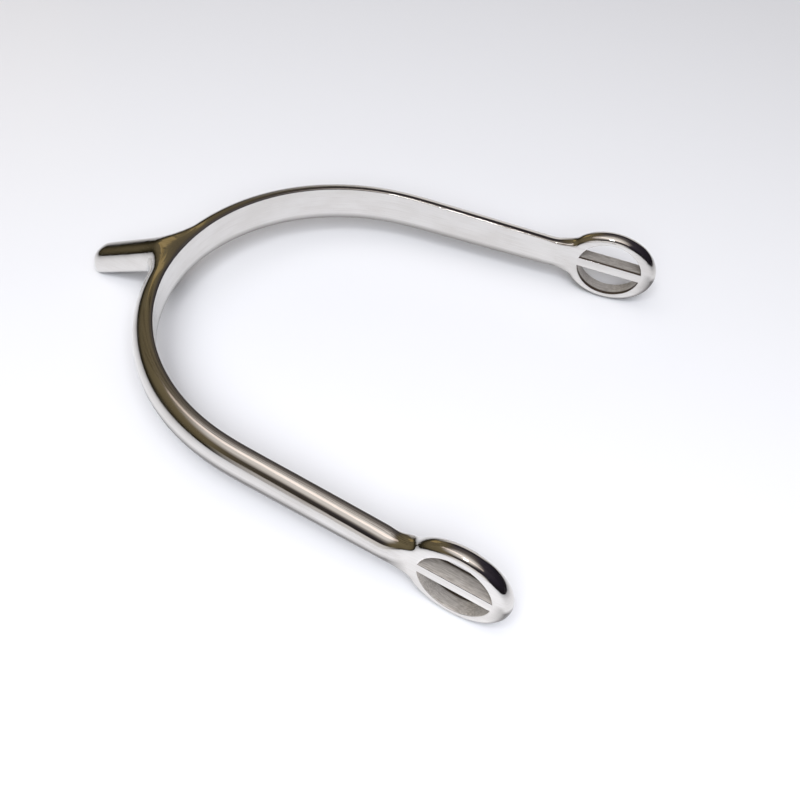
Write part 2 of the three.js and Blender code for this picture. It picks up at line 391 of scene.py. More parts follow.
@dataclass(frozen=True)
class SatinStainless:
    """Stainless steel left as the file and the emery left it, where the wheel can't reach inside the slots.

    It scatters the light into a soft warm-grey sheen, with fine parallel scratches in it.
    """

    light: str = "#D6D1CA"
    dark: str = "#ADA79F"
    tone_span: tuple[float, float] = (0.35, 0.65)  # of the noise, over which it turns from dark to light
    metal: float = 0.5  # the rest is a fine grey film of oxide and dust
    roughness: tuple[float, float] = (0.38, 0.5)
    rough_span: tuple[float, float] = (0.3, 0.7)
    drawn_along: float = 0.12
    scratch_spacing: float = 0.22  # mm, coarser than real ones so that they show
    scratch_height: float = 0.012  # mm
    painted_slot_shade: str = "#4A3F36"  # painted shade: the slot walls turn dark brown towards the edge that lies against the boot, where the slot is deepest
    painted_slot_shade_reach: tuple[float, float] = (0.35, -0.05)  # mm out from the band's inner face: none, and full

    def material(self) -> Material:
        """Returns the finished material."""
        material, tree = new_material("satin_stainless")
        scratches = drawn_noise(tree, self.drawn_along, self.scratch_spacing, 3.0)
        bare = coloured(tree, scratches, tuple(zip(self.tone_span, (self.dark, self.light))))
        # Painted shade: the slot walls and bars darken to brown towards the band's inner face.
        place = add_node(tree, "ShaderNodeAttribute", {"attribute_name": "grain"})
        out = add_node(tree, "ShaderNodeSeparateXYZ", Vector=place.outputs["Vector"]).outputs["Y"]
        none, full = (reach * MM for reach in self.painted_slot_shade_reach)
        tint = mixed(tree, ranged(tree, out, From_Min=none, From_Max=full), bare, linear(self.painted_slot_shade))
        start, end = self.rough_span
        low, high = self.roughness
        rough = ranged(tree, scratches, From_Min=start, From_Max=end, To_Min=low, To_Max=high)
        steel = add_node(
            tree, "ShaderNodeBsdfPrincipled", Base_Color=tint, Metallic=self.metal, Roughness=rough,
            Normal=raised(tree, scratches, self.scratch_height),
        )
        add_node(tree, "ShaderNodeOutputMaterial", Surface=steel.outputs["BSDF"])
        return material


@dataclass(frozen=True)
class WhiteLaminate:
    """A white laminate table top: matt white with a thin hard gloss that gives faint soft reflections."""

    colour: str = "#F2F3F4"
    roughness: float = 0.22

    def material(self) -> Material:
        """Returns the finished material."""
        material, tree = new_material("white_laminate")
        top = add_node(
            tree, "ShaderNodeBsdfPrincipled", Base_Color=linear(self.colour), Roughness=self.roughness,
        )
        add_node(tree, "ShaderNodeOutputMaterial", Surface=top.outputs["BSDF"])
        return material


# ---- The sub-assemblies, sized in millimetres in the band's own level frame ----


@dataclass(frozen=True)
class Taper:
    """A size that changes along an arm, on a parabola through its three values."""

    heel: float
    middle: float
    end: float

    def at(self, fraction: float) -> float:
        """Returns the size at a fraction of the way along the arm."""
        heel = self.heel * (1 - fraction) * (1 - 2 * fraction)
        middle = self.middle * 4 * fraction * (1 - fraction)
        return heel + middle + self.end * fraction * (2 * fraction - 1)


def faded(value: float, start: float, run: float) -> float:
    """Returns 0 up to the start, 1 past the run, and the share between."""
    return min(max((value - start) / run, 0.0), 1.0)


@dataclass
class HeelBand:
    """The heel band: a round heel that eases into two straight, splayed arms. The left half is made."""

    heel_radius: float = 40.9
    ease_length: float = 11.0
    splay: float = math.radians(5.9)
    arm_joint_x: float = 70.0
    height: Taper = Taper(8.0, 8.4, 6.9)
    thickness: Taper = Taper(4.6, 4.3, 4.3)
    crown: float = 0.8  # under 1 makes the outside fuller than half an oval
    stations: int = 66
    crown_sides: int = 20
    flat_sides: int = 8
    flat_share: float = 0.48  # share of the height, either way, that holds the flat's edge loops
    corner_pull: float = 1.2  # moves those loops out towards the corners, which tightens them
    dull_and_painted_shade_below: float = -0.04  # share of the half height, on the outside, where the dull underside with painted shade begins
    dull_and_painted_shade_arris: float = 0.84  # the same on the inside
    dull_and_painted_shade_fade: float = 0.1
    stride: float = 0.25
    length: float = field(init=False)
    step: float = field(init=False)
    arm_end: Vector = field(init=False)

    def __post_init__(self) -> None:
        """Walks along the arm to find where its inner face ends."""
        self.length = x = 0.0
        while x < self.arm_joint_x:
            x += self.stride * math.cos(self.heading(self.length + self.stride / 2))
            self.length += self.stride
        self.step = self.length / self.stations
        self.arm_end = Vector()
        for i in range(self.stations):
            heading = self.heading((i + 0.5) * self.step)
            self.arm_end += self.step * Vector((math.cos(heading), math.sin(heading), 0.0))

    def heading(self, distance: float) -> float:
        """Works out which way the inner face runs.

        Args:
            distance: The distance along it from the middle of the heel, in millimetres.

        Returns:
            Its direction in radians from X, which points along the spur.
        """
        start = self.heel_radius * (math.pi / 2 - self.splay) - self.ease_length / 2
        eased = min(max(distance - start, 0.0), self.ease_length)
        bent = min(distance, start) + eased - eased**2 / (2 * self.ease_length)
        return math.pi / 2 - bent / self.heel_radius

    def arm_matrix(self) -> Matrix:
        """Returns the left arm's end in the band's frame: X runs along the arm, Y out of it, in metres."""
        return Matrix.Translation(self.arm_end * MM) @ Matrix.Rotation(self.heading(self.length), 4, "Z")

    def section(self) -> Object:
        """Draws the bar's section at the back of the heel: half an oval, closed by a flat.

        Returns:
            The section as a closed loop of edges, in edit mode.
        """
        bpy.ops.mesh.primitive_circle_add(
            vertices=2 * self.crown_sides, radius=MM, rotation=(math.pi / 2, 0.0, 0.0)
        )
        piece = bpy.context.object
        take_up(piece)
        bpy.ops.object.transform_apply(location=True, rotation=True, scale=True)
        bpy.ops.object.mode_set(mode="EDIT")
        bpy.ops.mesh.select_all(action="SELECT")
        centre = Vector()
        half = self.height.heel / 2
        swell = 6 / (4 + 2 * math.cos(math.pi / self.crown_sides))  # makes up for what the rounding draws in
        resize((self.thickness.heel * swell, 1.0, half * swell), centre)
        pick(piece, lambda v: v.co.x > TOUCHING)
        bpy.ops.mesh.delete(type="VERT")
        for i in range(1, self.crown_sides // 2):  # fills the outside out, row by row
            rise = half * swell * math.sin(math.pi * i / self.crown_sides) * MM
            fuller = math.cos(math.pi * i / self.crown_sides) ** (self.crown - 1)
            pick(piece, lambda v: abs(abs(v.co.z) - rise) < TOUCHING and v.co.x < -TOUCHING)
            resize((fuller, 1.0, 1.0), centre)
        pick(piece, lambda v: v.co.x > -TOUCHING)
        bpy.ops.mesh.edge_face_add()
        bpy.ops.mesh.subdivide(number_cuts=self.flat_sides - 1)
        pick(piece, lambda v: v.co.x > -TOUCHING and abs(v.co.z) < self.flat_share * self.height.heel * MM)
        resize((1.0, 1.0, self.corner_pull), centre)
        return piece

    def draw_out(self, piece: Object) -> list[list[int]]:
        """Draws the section out into a straight, tapering half bar.

        Args:
            piece: The section, in edit mode.

        Returns:
            The vertex numbers of each station, from the heel.
        """
        bpy.ops.mesh.select_all(action="SELECT")
        for i in range(1, self.stations + 1):
            before, now = (i - 1) / self.stations, i / self.stations
            extrude(Vector((0.0, self.step * MM, 0.0)))
            thicker = self.thickness.at(now) / self.thickness.at(before)
            taller = self.height.at(now) / self.height.at(before)
            resize((thicker, 1.0, taller), Vector((0.0, i * self.step * MM, 0.0)))
        mesh = bmesh.from_edit_mesh(piece.data)
        grain = mesh.verts.layers.float_vector.new("grain")
        dulled = mesh.verts.layers.float.new("dulled")
        rings: list[list[int]] = [[] for _ in range(self.stations + 1)]
        for vertex in mesh.verts:
            station = round(vertex.co.y / (self.step * MM))
            rings[station].append(vertex.index)
            vertex[grain] = Vector((vertex.co.y, -vertex.co.x, vertex.co.z))
            # The dull underside with painted shade: rougher, and darkened as a painted reflection of the
            # shade beneath the band.
            low = -vertex.co.z / (self.height.at(station / self.stations) / 2 * MM)
            start = self.dull_and_painted_shade_below if vertex.co.x < -10 * TOUCHING else self.dull_and_painted_shade_arris
            vertex[dulled] = faded(low, start, self.dull_and_painted_shade_fade)
        bmesh.update_edit_mesh(piece.data)
        return rings

    def bend(self, piece: Object, rings: list[list[int]]) -> None:
        """Bends the straight bar round the heel, from its end back to its middle.

        Args:
            piece: The half bar, in edit mode.
            rings: The vertex numbers of each station.
        """
        beyond: set[int] = set()
        for i in range(self.stations - 1, -1, -1):
            beyond.update(rings[i + 1])
            ahead = self.heading((i + 0.5) * self.step)
            behind = self.heading((i - 0.5) * self.step) if i else math.pi / 2
            pick(piece, lambda v: v.index in beyond)
            turn(ahead - behind, "Z", Vector((0.0, i * self.step * MM, 0.0)))
        ends = set(rings[-1])
        pick(piece, lambda v: v.index in ends)
        last = self.heading(self.length) - self.heading(self.length - self.step / 2)
        turn(last, "Z", self.arm_end * MM)

    def forge_half(self) -> Object:
        """Makes the left half of the band.

        Returns:
            The half band, in edit mode, open at the back of the heel and at the arm's end.
        """
        piece = self.section()
        piece.name = "forging"
        Zone.mark_out(piece)
        self.bend(piece, self.draw_out(piece))
        return piece


@dataclass
class Neck:
    """The neck: a blunt bar with flattened sides, which droops from the back of the heel."""

    band: HeelBand
    drop: float = math.radians(27.5)
    reach: float = 18.8
    root: tuple[float, float] = (3.35, 4.0)  # half width and half height
    tip: tuple[float, float] = (2.95, 3.5)
    squareness: float = 2.6
    foot_length: float = 4.0  # from an oval foot to the squarer bar
    fillet: float = 6.0
    fillet_limit: float = 0.999  # share of the fillet's radius that is used, short of its very end
    tip_radius: float = 2.7
    patch_stations: int = 5
    patch_slack: float = 0.2  # of a station, so that the patch's last faces are surely taken
    patch_depth: float = 0.14  # share of the band's thickness that the patch leaves on the inside
    spacing: tuple[float, ...] = (0.5, 1.6, 2.7, 3.8, 5.0, 6.6, 8.6, 10.8, 13.0, 14.9, 16.1)
    tip_rings: int = 5
    tip_opening: float = 0.35  # of a ring's turn, left open at the middle of the tip
    outline_steps: int = 720
    foot_reach: float = 1.0  # behind the band's outside, over which the foot is smoothed
    foot_smoothing: int = 3
    dull_and_painted_shade_below: float = 0.7  # share of the way round from its top where the dull underside with painted shade begins
    dull_and_painted_shade_fade: float = 0.1

    def share(self, behind: float) -> float:
        """Returns how far a place behind the band is along the neck, from 0 to 1."""
        return min(max(behind / self.reach, 0.0), 1.0)

    def half_width(self, behind: float) -> float:
        """Returns the neck's half width, with the fillet that runs out into the band.

        Args:
            behind: The distance behind the band's outside at the middle of the heel.

        Returns:
            The half width in millimetres.
        """
        outside = self.band.heel_radius + self.band.thickness.heel
        plain = self.root[0] + (self.tip[0] - self.root[0]) * self.share(behind)
        across = self.root[0] + self.fillet
        fillet_behind = math.sqrt((outside + self.fillet) ** 2 - across**2) - outside
        if behind >= fillet_behind:
            return plain
        away = min(fillet_behind - behind, self.fillet * self.fillet_limit)
        return plain + self.fillet - math.sqrt(self.fillet**2 - away**2)

    def half_outline(self, behind: float, inset: float) -> list[tuple[float, float]]:
        """Works out the right-hand outline of the neck's section, from its top to its bottom.

        Args:
            behind: The distance behind the band's outside at the middle of the heel.
            inset: How far the outline is drawn in.

        Returns:
            Fine steps along it, across and up, in millimetres.
        """
        half_width = self.half_width(behind) - inset
        half_height = self.root[1] + (self.tip[1] - self.root[1]) * self.share(behind) - inset
        blend = min(max(behind / self.foot_length, 0.0), 1.0)
        power = 2 / (2 + (self.squareness - 2) * blend)
        outline = []
        for i in range(self.outline_steps + 1):
            angle = math.pi / 2 - math.pi * i / self.outline_steps
            rise = math.copysign(abs(math.sin(angle)) ** power, math.sin(angle))
            outline.append((half_width * abs(math.cos(angle)) ** power, half_height * rise))
        return outline

    def ring(self, behind: float, inset: float, count: int) -> list[Vector]:
        """Works out half a ring of evenly spaced points round the neck, from its top to its bottom.

        Args:
            behind: The distance behind the band's outside at the middle of the heel.
            inset: How far the ring is drawn in, for the rounded tip.
            count: How many sides the half ring has.

        Returns:
            Its points in the band's frame, in millimetres.
        """
        outline = self.half_outline(behind, inset)
        run = [0.0]
        for (y0, z0), (y1, z1) in zip(outline, outline[1:]):
            run.append(run[-1] + math.hypot(y1 - y0, z1 - z0))
        x = -self.band.thickness.heel - behind
        sunk = math.tan(self.drop) * max(behind, 0.0)
        points = []
        at = 0
        for k in range(count + 1):
            goal = run[-1] * k / count
            while at < len(run) - 2 and run[at + 1] < goal:
                at += 1
            part = (goal - run[at]) / (run[at + 1] - run[at])
            y = outline[at][0] + part * (outline[at + 1][0] - outline[at][0])
            z = outline[at][1] + part * (outline[at + 1][1] - outline[at][1])
            points.append(Vector((x, y if 0 < k < count else 0.0, z - sunk)))
        return points

    def rings(self, start: list[Vector]) -> list[list[Vector]]:
        """Works out all of the half rings, from the patch's rim to the tip.

        Args:
            start: The points of the patch's rim, from its top to its bottom, in millimetres.

        Returns:
            The points of each half ring.
        """
        count = len(start) - 1
        shapes = [self.ring(behind, 0.0, count) for behind in self.spacing]
        lead = [a.lerp(b, 0.5) for a, b in zip(start, shapes[0])]
        for i in range(1, self.tip_rings + 1):
            angle = math.pi / 2 * i / (self.tip_rings + self.tip_opening)
            behind = self.reach - self.tip_radius * (1 - math.sin(angle))
            shapes.append(self.ring(behind, self.tip_radius * (1 - math.cos(angle)), count))
        return [lead, *shapes]

    def in_patch(self, face: BMFace) -> bool:
        """Says whether a face of the heel is in the patch that the neck grows from.

        Args:
            face: A face of the half band.

        Returns:
            True if it is in the patch.
        """
        band = self.band
        place = face.calc_center_median() / MM - Vector((band.heel_radius, 0.0, 0.0))
        limit = (self.patch_stations + self.patch_slack) * band.step / band.heel_radius
        out = math.hypot(place.x, place.y) - band.heel_radius
        turned = math.atan2(place.y, -place.x)
        return place.x < 0 and turned < limit and out > self.patch_depth * band.thickness.heel

    @staticmethod
    def patch_rim(mesh: BMesh) -> tuple[list[BMEdge], list[BMVert]]:
        """Finds the rim of the open patch.

        Args:
            mesh: The half band's mesh, with the patch cut out.

        Returns:
            The rim's edges, and its vertices in order from the top to the bottom.
        """
        heel_side = 10 * MM  # everything in front of it is the arm's open end
        rim = [
            edge for edge in mesh.edges
            if len(edge.link_faces) == 1 and edge.verts[0].co.x < heel_side
            and max(abs(v.co.y) for v in edge.verts) > TOUCHING
        ]
        neighbours: dict[BMVert, list[BMVert]] = {}
        for edge in rim:
            first, second = edge.verts
            neighbours.setdefault(first, []).append(second)
            neighbours.setdefault(second, []).append(first)
        ends = [v for v, near in neighbours.items() if len(near) == 1]
        chain = [max(ends, key=lambda v: v.co.z)]
        while len(chain) < len(neighbours):
            chain.append(next(v for v in neighbours[chain[-1]] if v not in chain))
        return rim, chain

    def draw_ring(
        self, mesh: BMesh, edges: list[BMEdge], row: list[BMVert], points: list[Vector]
    ) -> tuple[list[BMEdge], list[BMVert]]:
        """Draws one more ring out of the last one.

        Args:
            mesh: The half band's mesh.
            edges: The last ring's edges.
            row: The last ring's vertices, in order.
            points: The new ring's places, in millimetres.

        Returns:
            The new ring's edges, and its vertices in order.
        """
        grain = mesh.verts.layers.float_vector["grain"]
        dulled = mesh.verts.layers.float["dulled"]
        made = bmesh.ops.extrude_edge_only(mesh, edges=edges)["geom"]
        fresh = [g for g in made if isinstance(g, BMVert)]
        edges = [g for g in made if isinstance(g, BMEdge) and all(v in fresh for v in g.verts)]
        by_place = {self.place_key(v): v for v in fresh}
        row = [by_place[self.place_key(v)] for v in row]
        for rank, (vertex, point) in enumerate(zip(row, points)):
            vertex.co = point * MM
            vertex[grain] = Vector((-point.x, point.y, point.z)) * MM
            # The dull underside with painted shade: rougher, and darkened as a painted reflection of the
            # shade beneath the neck.
            vertex[dulled] = faded(rank / (len(row) - 1), self.dull_and_painted_shade_below, self.dull_and_painted_shade_fade)
        for vertex in row:
            for face in vertex.link_faces:
                face.material_index = Zone.NECK
        return edges, row

    @staticmethod
    def place_key(vertex: BMVert) -> tuple[int, ...]:
        """Returns a vertex's place as whole steps, so that two at one place can be paired."""
        return tuple(round(c * 10 / TOUCHING) for c in vertex.co)

    def pull(self, piece: Object) -> None:
        """Cuts a patch out of the heel, and pulls the neck out of its rim ring by ring.

        Args:
            piece: The half band, in edit mode.
        """
        pick_faces(piece, self.in_patch)
        bpy.ops.mesh.delete(type="FACE")
        mesh = bmesh.from_edit_mesh(piece.data)
        edges, chain = self.patch_rim(mesh)
        row = chain
        for points in self.rings([v.co / MM for v in chain]):
            edges, row = self.draw_ring(mesh, edges, row, points)
        mesh.verts.index_update()
        bmesh.update_edit_mesh(piece.data)
        foot = {v.index for v in chain[1:-1]}
        seam = {v.index for v in mesh.verts if abs(v.co.y) < TOUCHING}
        self.smooth_foot(piece, foot, seam)

    def smooth_foot(self, piece: Object, foot: set[int], seam: set[int]) -> None:
        """Smooths the neck's foot into the band, and brings the seam back to the middle.

        Args:
            piece: The half band, in edit mode.
            foot: The numbers of the vertices round the foot.
            seam: The numbers of those on the middle plane.
        """
        limit = -(self.band.thickness.heel + self.foot_reach) * MM

        def at_foot(vertex: BMVert) -> bool:
            """Says whether a vertex is round the foot or on the first part of the neck.

            Args:
                vertex: A vertex of the half band with its neck.

            Returns:
                True if it is to be smoothed.
            """
            on_neck = any(face.material_index == Zone.NECK for face in vertex.link_faces)
            return vertex.index in foot or (vertex.co.x > limit and on_neck)

        pick(piece, at_foot)
        bpy.ops.mesh.vertices_smooth(factor=0.5, repeat=self.foot_smoothing)
        pick(piece, lambda v: v.index in seam)
        resize((1.0, 0.0, 1.0), Vector())


@dataclass
class StrapEye:
    """A strap eye: an oval ring with flat faces and a round rim, and a flat bar across its hole."""

    band: HeelBand
    to_joint: float = 13.0
    raised: float = 0.35
    outer: tuple[float, float] = (10.6, 8.8)
    hole: tuple[float, float] = (7.25, 6.75)
    thickness: float = 3.7
    set_in: float = 0.5
    rim_round: float = 1.3
    rim_sides: int = 6
    hole_edge: float = 0.28
    edge_share: float = 0.3  # of the hole's edge, where a loop holds its rounding
    wall_share: float = 0.2  # of the hole's edge, out to which a face is still the slot's wall
    dull_and_painted_shade_beyond: float = 0.868  # share of the outer size past which the rim is duller and darkened as painted shade
    dull_and_painted_shade_under: tuple[float, float] = (-3.2, 1.0)  # and below these heights, towards the arm and away
    dull_and_painted_shade_fade: float = 0.02
    segments: int = 48
    patch_segments: int = 8
    join_reach: float = 0.5  # back from the arm's end, for finding its rim
    shoulder_cuts: int = 2
    shoulder_span: tuple[float, float] = (-0.5, 2.6)
    shoulder_smoothing: int = 3
    bar_height: float = 2.2
    bar_seat: float = 0.7
    bar_sunk: float = 0.03
    bar_edge: float = 0.15
    bar_edge_segments: int = 3
    bar_sharp_angle: float = math.radians(25)  # over which two faces of the bar aren't shaded as one

    def middle(self) -> float:
        """Returns how far the middle of the eye's thickness lies out from the band's inner face."""
        return self.thickness / 2 - self.set_in

    def matrix(self) -> Matrix:
        """Returns the left eye's middle in the band's frame."""
        return self.band.arm_matrix() @ Matrix.Translation(Vector((self.to_joint, 0.0, self.raised)) * MM)

    def grain_start(self) -> Vector:
        """Returns the eye's middle along the bar's grain, in metres."""
        return Vector((self.band.length + self.to_joint, 0.0, 0.0)) * MM

    def profile(self) -> list[tuple[float, float, float]]:
        """Works out the ring's section, from the inner edge of the hole's wall round to the same edge.

        Returns:
            The half length, the half height and the distance out of each loop, in millimetres.
        """
        half, middle, edge = self.thickness / 2, self.middle(), self.hole_edge
        held = edge * self.edge_share
        held_hole = (self.hole[0] + held, self.hole[1] + held)
        open_hole = (self.hole[0] + edge, self.hole[1] + edge)
        profile = [
            (*self.hole, middle - half + edge),
            (*self.hole, middle),
            (*self.hole, middle + half - edge),
            (*held_hole, middle + half - held),
            (*open_hole, middle + half),
        ]
        for i in range(self.rim_sides + 1):
            angle = math.pi * i / self.rim_sides
            inset = self.rim_round * (1 - math.sin(angle))
            profile.append((self.outer[0] - inset, self.outer[1] - inset, middle + half * math.cos(angle)))
        return [*profile, (*open_hole, middle - half), (*held_hole, middle - half + held)]

    def turn_ring(self) -> Object:
        """Draws the ring's loops out of an oval, one after the other, and closes them.

        Returns:
            The ring about the origin, in edit mode.
        """
        bpy.ops.mesh.primitive_circle_add(
            vertices=self.segments, radius=MM, rotation=(math.pi / 2, 0.0, 0.0)
        )
        ring = bpy.context.object
        take_up(ring)
        bpy.ops.object.transform_apply(location=True, rotation=True, scale=True)
        Zone.mark_out(ring)
        bpy.ops.object.mode_set(mode="EDIT")
        bpy.ops.mesh.select_mode(type="EDGE")
        bpy.ops.mesh.select_all(action="SELECT")
        (long, tall, out), *others = self.profile()
        resize((long, 1.0, tall), Vector())
        bpy.ops.transform.translate(value=(0.0, out * MM, 0.0))
        for next_long, next_tall, next_out in others:
            extrude(Vector((0.0, (next_out - out) * MM, 0.0)))
            resize((next_long / long, 1.0, next_tall / tall), Vector((0.0, next_out * MM, 0.0)))
            long, tall, out = next_long, next_tall, next_out
        pick_rims(ring, lambda middle: True)
        bpy.ops.mesh.bridge_edge_loops()
        return ring

    def mark_ring(self, ring: Object) -> None:
        """Marks the ring's grain, its dull rim with painted shade and the walls of its slots.

        Args:
            ring: The ring about the origin, in edit mode.
        """
        hole_limit = 1 + self.wall_share * self.hole_edge / self.hole[1]
        mesh = bmesh.from_edit_mesh(ring.data)
        grain = mesh.verts.layers.float_vector.new("grain")
        dulled = mesh.verts.layers.float.new("dulled")
        for vertex in mesh.verts:
            vertex[grain] = vertex.co + self.grain_start()
            place = vertex.co / MM
            out = math.hypot(place.x / self.outer[0], place.z / self.outer[1])
            # The lower rim is rougher and darkened as painted shade, a painted reflection of the shade
            # beneath the eye.
            under = self.dull_and_painted_shade_under[0] if place.x < 0 else self.dull_and_painted_shade_under[1]
            vertex[dulled] = faded(out, self.dull_and_painted_shade_beyond, self.dull_and_painted_shade_fade) if place.z < under else 0.0
        for face in mesh.faces:
            centre = face.calc_center_median() / MM
            is_wall = math.hypot(centre.x / self.hole[0], centre.z / self.hole[1]) < hole_limit
            face.material_index = Zone.SLOT_WALL if is_wall else Zone.EYE
        bmesh.update_edit_mesh(ring.data)

    def meets_arm(self, face: BMFace) -> bool:
        """Says whether a face of the ring is on the stretch of its rim that meets the arm.

        Args:
            face: A face of the ring about the origin.

        Returns:
            True if it is on that stretch.
        """
        centre = face.calc_center_median() / MM
        bearing = math.atan2(centre.z / self.outer[1], -centre.x / self.outer[0])
        rim_inside = [size - self.rim_round for size in self.outer]
        outside = math.hypot(centre.x / rim_inside[0], centre.z / rim_inside[1]) > 1.0
        return abs(bearing) < math.pi * self.patch_segments / self.segments and outside

    def forge_ring(self) -> Object:
        """Makes the left eye's ring, with the stretch of rim that meets the arm left open.

        Returns:
            The ring, placed at the end of the left arm.
        """
        ring = self.turn_ring()
        self.mark_ring(ring)
        pick_faces(ring, self.meets_arm)
        bpy.ops.mesh.delete(type="FACE")
        bpy.ops.object.mode_set(mode="OBJECT")
        ring.data.transform(self.matrix())
        return ring

    def weld(self, piece: Object, ring: Object) -> None:
        """Joins the eye's ring to the arm's end with a shoulder.

        Args:
            piece: The half band with its neck, in object mode.
            ring: The left eye's ring.
        """
        deselect_all()
        ring.select_set(True)
        piece.select_set(True)
        bpy.context.view_layer.objects.active = piece
        bpy.ops.object.join()
        bpy.ops.object.mode_set(mode="EDIT")
        at_arm = self.band.arm_matrix().inverted()
        pick_rims(piece, lambda middle: (at_arm @ middle).x > -self.join_reach * MM)
        bpy.ops.mesh.bridge_edge_loops(number_cuts=self.shoulder_cuts)
        mesh = bmesh.from_edit_mesh(piece.data)
        for face in mesh.faces:
            if face.select:
                face.material_index = Zone.EYE
        bmesh.update_edit_mesh(piece.data)
        start, end = (reach * MM for reach in self.shoulder_span)
        pick(piece, lambda v: start < (at_arm @ v.co).x < end)
        bpy.ops.mesh.vertices_smooth(factor=0.5, repeat=self.shoulder_smoothing)
        bpy.ops.object.mode_set(mode="OBJECT")

    def forge_bar(self, side: Side, rest: Matrix) -> Object:
        """Makes the flat bar across one eye.

        Args:
            side: The eye's side.
            rest: The matrix from the band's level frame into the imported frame.

        Returns:
            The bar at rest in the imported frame.
        """
        length = 2 * (self.hole[0] + self.bar_seat)
        bpy.ops.mesh.primitive_cube_add(size=MM)
        bar = bpy.context.object
        take_up(bar)
        bpy.ops.object.mode_set(mode="EDIT")
        bpy.ops.mesh.select_all(action="SELECT")
        resize((length, self.thickness - 2 * self.bar_sunk, self.bar_height), Vector())
        bpy.ops.transform.translate(value=(0.0, self.middle() * MM, 0.0))
        bpy.ops.mesh.bevel(
            offset=self.bar_edge * MM, segments=self.bar_edge_segments, affect="EDGES", profile=0.5
        )
        mesh = bmesh.from_edit_mesh(bar.data)
        grain = mesh.verts.layers.float_vector.new("grain")
        for vertex in mesh.verts:
            vertex[grain] = vertex.co + self.grain_start()
        bmesh.update_edit_mesh(bar.data)
        bpy.ops.object.mode_set(mode="OBJECT")
        place = self.matrix()
        if side is Side.RIGHT:
            place = Matrix.Scale(-1, 4, (0.0, 1.0, 0.0)) @ place
        bar.data.transform(rest @ place)
        if side is Side.RIGHT:
            bar.data.flip_normals()
        take_up(bar)
        bpy.ops.object.shade_smooth_by_angle(angle=self.bar_sharp_angle)
        return bar


# ---- The whole spur, made as one skin that parts into its pieces ----


@dataclass
class Spur:
    """The whole spur: one smooth skin, which is then parted into its pieces, and the two strap bars."""

    levels: int = 2  # how many times the skin's cage is divided
    tip_depth: float = 1.0  # within which the rim of the open tip is found
    band: HeelBand = field(default_factory=HeelBand)

    def __post_init__(self) -> None:
        """Fits the neck and the eyes to the band."""
        self.neck = Neck(self.band)
        self.eye = StrapEye(self.band)

    def rest_matrix(self) -> Matrix:
        """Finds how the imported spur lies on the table, from its left strap bar.

        Returns:
            The matrix from the band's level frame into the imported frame.
        """
        corners = [v.co.copy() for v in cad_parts["left_strap_bar"].data.vertices]
        low, high = (Vector([most(c[i] for c in corners) for i in range(3)]) for most in (min, max))
        middle = (low + high) / 2
        front = [c for c in corners if c.x > middle.x]
        back = [c for c in corners if c.x < middle.x]
        along = sum(front, Vector()) / len(front) - sum(back, Vector()) / len(back)
        tilt = Matrix.Rotation(math.atan2(-along.z, along.x), 4, "Y")
        bar_middle = Vector((0.0, self.eye.middle(), 0.0)) * MM
        return Matrix.Translation(middle - tilt @ (self.eye.matrix() @ bar_middle)) @ tilt

    def forge(self) -> Object:
        """Makes the whole skin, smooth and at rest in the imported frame.

        Returns:
            The skin, with each face's zone as its material index.
        """
        piece = self.band.forge_half()
        self.neck.pull(piece)
        bpy.ops.object.mode_set(mode="OBJECT")
        self.eye.weld(piece, self.eye.forge_ring())
        mirror = piece.modifiers.new("other_half", "MIRROR")
        mirror.use_axis = (False, True, False)
        mirror.merge_threshold = TOUCHING
        apply_modifier(piece, mirror)
        take_up(piece)
        bpy.ops.object.mode_set(mode="EDIT")
        tip = -(self.band.thickness.heel + self.neck.reach - self.tip_depth) * MM
        pick_rims(piece, lambda middle: middle.x < tip)
        bpy.ops.mesh.fill_holes(sides=0)
        bpy.ops.mesh.select_all(action="SELECT")
        bpy.ops.mesh.normals_make_consistent(inside=False)
        bpy.ops.object.mode_set(mode="OBJECT")
        smooth_subdivide(piece, self.levels)
        take_up(piece)
        bpy.ops.object.shade_smooth()
        piece.data.transform(self.rest_matrix())
        return piece

    @staticmethod
    def part(skin: Object, name: str, zones: frozenset[Zone], side: Side | None) -> Object:
        """Parts one piece from the skin and closes it where it was joined.

        Args:
            skin: The whole skin.
            name: The piece's name.
            zones: The zones that belong to it.
            side: The side that it lies on, or None for a piece on both.

        Returns:
            The piece, closed, with the skin's own shading up to its joints.
        """
        piece = skin.copy()
        piece.data = skin.data.copy()
        piece.name = piece.data.name = name
        bpy.context.collection.objects.link(piece)
        take_up(piece)
        bpy.ops.object.mode_set(mode="EDIT")
        pick_faces(
            piece,
            lambda f: f.material_index not in zones
            or (side is not None and f.calc_center_median().y * side.value < 0),
        )
        bpy.ops.mesh.delete(type="FACE")
        bpy.ops.object.mode_set(mode="OBJECT")
        shut(piece)
        carry = piece.modifiers.new("shading", "DATA_TRANSFER")
        carry.object = skin
        carry.use_loop_data = True
        carry.data_types_loops = {"CUSTOM_NORMAL"}
        carry.loop_mapping = "POLYINTERP_NEAREST"
        apply_modifier(piece, carry)
        return piece


# ---- The studio ----


@dataclass(frozen=True)
class Softbox:
    """A rectangular studio light."""

    name: str
    place: tuple[float, float, float]  # mm
    size: tuple[float, float]  # mm
    power: float  # watts
    colour: str = "#FFFFFF"
    in_reflections: bool = True
    aim: tuple[float, float, float] = (0.0, 0.0, 8.0)

    def switch_on(self) -> Object:
        """Puts the light up, facing its aim.

        Returns:
            The light.
        """
        data = bpy.data.lights.new(self.name, "AREA")
        data.shape = "RECTANGLE"
        data.size, data.size_y = (side * MM for side in self.size)
        data.energy = self.power
        data.color = linear(self.colour)[:3]
        light = bpy.data.objects.new(self.name, data)
        bpy.context.collection.objects.link(light)
        place = Vector(self.place) * MM
        look = Vector(self.aim) * MM - place
        light.location = place
        light.rotation_euler = look.to_track_quat("-Z", "Y").to_euler()
        light.visible_glossy = self.in_reflections
        return light


